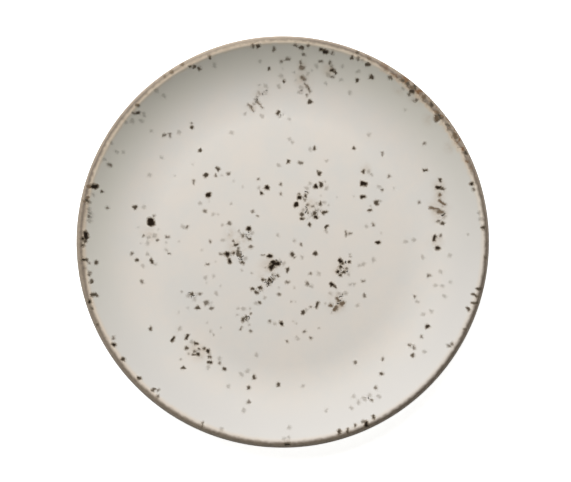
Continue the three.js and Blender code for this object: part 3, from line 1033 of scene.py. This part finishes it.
def speck_finish():
    """Iron in the middle, a brown halo round it, and nothing at all at the edge of the lens."""
    material, start = new_finish("iron_speck")
    place = start.node("ShaderNodeTexCoord", None, None, "Object")

    def value(name):
        return start.node("ShaderNodeAttribute", {"attribute_name": name}, None, "Fac")

    def reach(first, second):
        return start.maths("SQRT", first * first + second * second)

    tone = value("tone")
    inside = 1 - reach(value("along"), value("beside")).rise(0.4, 0.5)
    along = start.maths("ABSOLUTE", value("along") * value("length"))
    beside = value("beside") * value("breadth")
    half_breadth = value("breadth") / 2 - SOFT_MARGIN
    past_tip = start.maths("MAXIMUM", along - (value("length") - value("breadth")) / 2, 0.0)
    past_core = reach(past_tip, beside) - half_breadth
    past_core = past_core + (place.noise(800, 2) - 0.5) * RAGGED
    core = (1 - past_core.rise(*CORE_FADE)) * inside * tone.rise(0.0, 0.9)
    halo = (1 - past_core.rise(*HALO_FADE)) * inside * tone * HALO_SHARE
    cover = (1 - (1 - core) * (1 - halo)) * value("outer")
    iron = tone.rise(0.5, 0.95).between(IRON_BROWN, IRON_BLACK)
    iron = value("rust").between(iron, IRON_RUST)
    set_shader(material, {
        "Base Color": (core / (cover + LEAST_COVER)).between(HALO_BROWN, iron),
        "Alpha": cover,
        "Roughness": 0.32 + 0.15 * core,
        "Normal": bump(place.noise(900, 2), 0.15, 0.02 * MM),
        "IOR": 1.5,
    })
    return material


iron_speck = speck_finish()

# %% Drop the specks on both sides
SPECK_LIFT = 0.012 * MM
LIP_LIFT = 0.05 * MM
SPECK_THICKNESS = 0.06 * MM
SPECK_FRAY = 0.6
EDGE_MARGIN = 0.2 * MM
LIP_REACH = 9 * MM
FLAT_RINGS = 4
LIP_RINGS = 16

coat_pieces = bpy.data.collections.new("coats")
bpy.context.scene.collection.children.link(coat_pieces)
for piece in (face_glaze, rim_band, underside_glaze, foot_well_glaze):
    coat_pieces.objects.link(piece)


def drop_specks(name, specks, side, rings, lift):
    mesh = bpy.data.meshes.new(name + "_places")
    mesh.from_pydata([s["place"] for s in specks], [], [])
    for value in ("length", "breadth", "turn", "tone", "rust"):
        mesh.attributes.new(value, "FLOAT", "POINT").data.foreach_set("value", [s[value] for s in specks])
    piece = run_tree(dropping, name, mesh, {
        "Coats": coat_pieces,
        "Side": float(side),
        "Rings": rings,
        "Farthest": plate_radius - EDGE_MARGIN,
        "Lift": lift,
        "Thickness": SPECK_THICKNESS,
        "Fray": SPECK_FRAY,
        "Material": iron_speck,
    })
    print(f"{name}: {len(specks)} specks, {len(piece.data.polygons)} faces")
    return piece


near_lip = [math.hypot(*s["place"]) > plate_radius - LIP_REACH for s in face_specks]
inner_specks = [s for s, near in zip(face_specks, near_lip) if not near]
lip_specks = [s for s, near in zip(face_specks, near_lip) if near]
specks_on_face = drop_specks("face_specks", inner_specks, 1, FLAT_RINGS, SPECK_LIFT)
specks_on_lip = drop_specks("lip_specks", lip_specks, 1, LIP_RINGS, LIP_LIFT)
specks_on_back = drop_specks("back_specks", back_specks, -1, FLAT_RINGS, SPECK_LIFT)

# %% [markdown]
# ## Floor and light
# One large soft light hangs at the upper left, as in a catalogue photo. The bright sheet is only for the
# eye: it is seen by the camera and by nothing else. A dimmer sheet just under it throws light back at the
# plate, so that the underside keeps its shading from the side.

# %% Lay the floor
FLOOR_WHITE = paint(247, 247, 246)
FLOOR_SHADE = paint(243, 243, 243)
FLOOR_SIZE = 40.0
FLOOR_GLOW = 0.88
TABLE_GLOW = 0.2
TABLE_DEPTH = 0.5 * MM


def level_sheet(name, height, glow):
    """A level square of white paper."""
    half = FLOOR_SIZE / 2
    mesh = bpy.data.meshes.new(name)
    corners = [(-half, -half, height), (half, -half, height), (half, half, height), (-half, half, height)]
    mesh.from_pydata(corners, [], [(0, 1, 2, 3)])
    paper, start = new_finish(name + "_paper")
    place = start.node("ShaderNodeTexCoord", None, None, "Object")
    set_shader(paper, {
        "Base Color": place.noise(3).between(FLOOR_WHITE, FLOOR_SHADE),
        "Roughness": 0.9,
        "Emission Color": (1, 1, 1, 1),
        "Emission Strength": glow,
    })
    mesh.materials.append(paper)
    sheet = bpy.data.objects.new(name, mesh)
    bpy.context.scene.collection.objects.link(sheet)
    return sheet


studio_floor = level_sheet("studio_floor", 0, FLOOR_GLOW)
studio_floor.visible_diffuse = False
studio_floor.visible_glossy = False
studio_floor.visible_shadow = False
table_top = level_sheet("table_top", -TABLE_DEPTH, TABLE_GLOW)
table_top.visible_camera = False
print(f"two sheets of paper, {FLOOR_SIZE:g} m square")

# %% Hang the lights
KEY_AZIMUTH = math.radians(109)
KEY_TILT = math.radians(42)
KEY_DISTANCE = 1.6
KEY_SIZE = 1.4
KEY_POWER = 42.5
KEY_TINT = (0.968, 0.986, 1.0)
AIR_TINT = (1.0, 0.97, 0.65, 1.0)
AIR_STRENGTH = 0.055

key_data = bpy.data.lights.new("soft_key", "AREA")
key_data.shape = "SQUARE"
key_data.size = KEY_SIZE
key_data.energy = KEY_POWER
key_data.color = KEY_TINT
soft_key = bpy.data.objects.new("soft_key", key_data)
soft_key.location = KEY_DISTANCE * np.array([
    math.sin(KEY_TILT) * math.cos(KEY_AZIMUTH),
    math.sin(KEY_TILT) * math.sin(KEY_AZIMUTH),
    math.cos(KEY_TILT),
])
soft_key.rotation_euler = (0, KEY_TILT, KEY_AZIMUTH)
soft_key.visible_glossy = False
bpy.context.scene.collection.objects.link(soft_key)

world = bpy.data.worlds.new("studio_air")
bpy.context.scene.world = world
world.use_nodes = True
world.node_tree.nodes["Background"].inputs["Color"].default_value = AIR_TINT
world.node_tree.nodes["Background"].inputs["Strength"].default_value = AIR_STRENGTH
bpy.context.scene.view_settings.view_transform = "Standard"

# %% [markdown]
# ## Handing over
# Each turned piece takes the place of its solid, whose faceted copy is hidden, and everything rides on the
# plate's one body.

# %% Hide the faceted solids and hang every piece on the plate's body
standing_for = {
    stoneware_body: ("stoneware_body", "bare_clay"),
    face_glaze: ("face_glaze", "off_white_glaze"),
    rim_band: ("rim_band", "brown_band"),
    underside_glaze: ("underside_glaze", "off_white_glaze"),
    foot_well_glaze: ("foot_well_glaze", "off_white_glaze"),
}
for piece, (node, slot) in standing_for.items():
    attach(piece, "root")
    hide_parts(node)
for piece in (specks_on_face, specks_on_lip, specks_on_back):
    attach(piece, "root")
